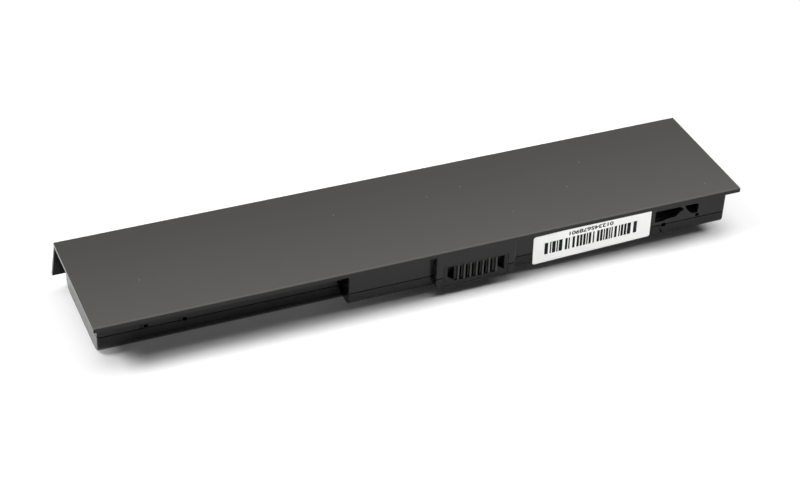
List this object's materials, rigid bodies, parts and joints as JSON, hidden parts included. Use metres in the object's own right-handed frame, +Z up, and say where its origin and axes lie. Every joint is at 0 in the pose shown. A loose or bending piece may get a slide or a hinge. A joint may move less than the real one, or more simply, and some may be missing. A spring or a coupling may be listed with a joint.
{
  "type": "laptop battery",
  "caption": "Flat laptop battery pack: overhanging top plate with a rear lip, two-part case of cells, front connector, latch pocket and paper label",
  "frame": {"origin": "under the plate's centre, on the surface the case stands on", "axes": "+X along the plate to the latch pocket's end, +Y from the connector edge to the lip, +Z up to the plate's top"},
  "size_m": [0.2784, 0.0578, 0.0214],
  "materials": {
    "cover_plastic": "fine-textured dark grey moulding",
    "case_plastic": "satin black moulding",
    "connector_plastic": "satin black moulding",
    "label_paper": "white paper with a printed bar code",
    "ring_paper": "thin pale paper",
    "insulating_paper": "grey-green fibre paper",
    "foam": "black closed-cell foam",
    "board_laminate": "green solder mask",
    "moulded_package": "black moulded package",
    "fuse_body": "off-white ceramic body",
    "capacitor_body": "tan ceramic body",
    "thermistor_coat": "black resin coat",
    "contact_metal": "nickel-plated spring leaves",
    "cell_sleeve": "blue shrink sleeve over a steel can",
    "nickel": "plain nickel strip"
  },
  "bodies": {
    "root": {"top_cover": "cover_plastic", "bottom_case": "case_plastic", "connector_housing": "connector_plastic", "barcode_label": "label_paper", "cell_rings": "ring_paper", "end_paper_left": "insulating_paper", "end_paper_right": "insulating_paper", "foam_pad_left": "foam", "foam_pad_right": "foam", "circuit_board": "board_laminate", "gauge_chip": "moulded_package", "power_transistors": "moulded_package", "fuse": "fuse_body", "sense_resistor": "moulded_package", "board_capacitors": "capacitor_body", "thermistor": "thermistor_coat", "signal_contacts": "contact_metal", "power_contacts": "contact_metal", "cell_1": "cell_sleeve", "cell_2": "cell_sleeve", "cell_3": "cell_sleeve", "cell_4": "cell_sleeve", "cell_5": "cell_sleeve", "cell_6": "cell_sleeve", "cell_7": "cell_sleeve", "cell_8": "cell_sleeve", "strip_negative": "nickel", "strip_link_1": "nickel", "strip_link_2": "nickel", "strip_link_3": "nickel", "strip_positive": "nickel"}
  },
  "joints": []
}
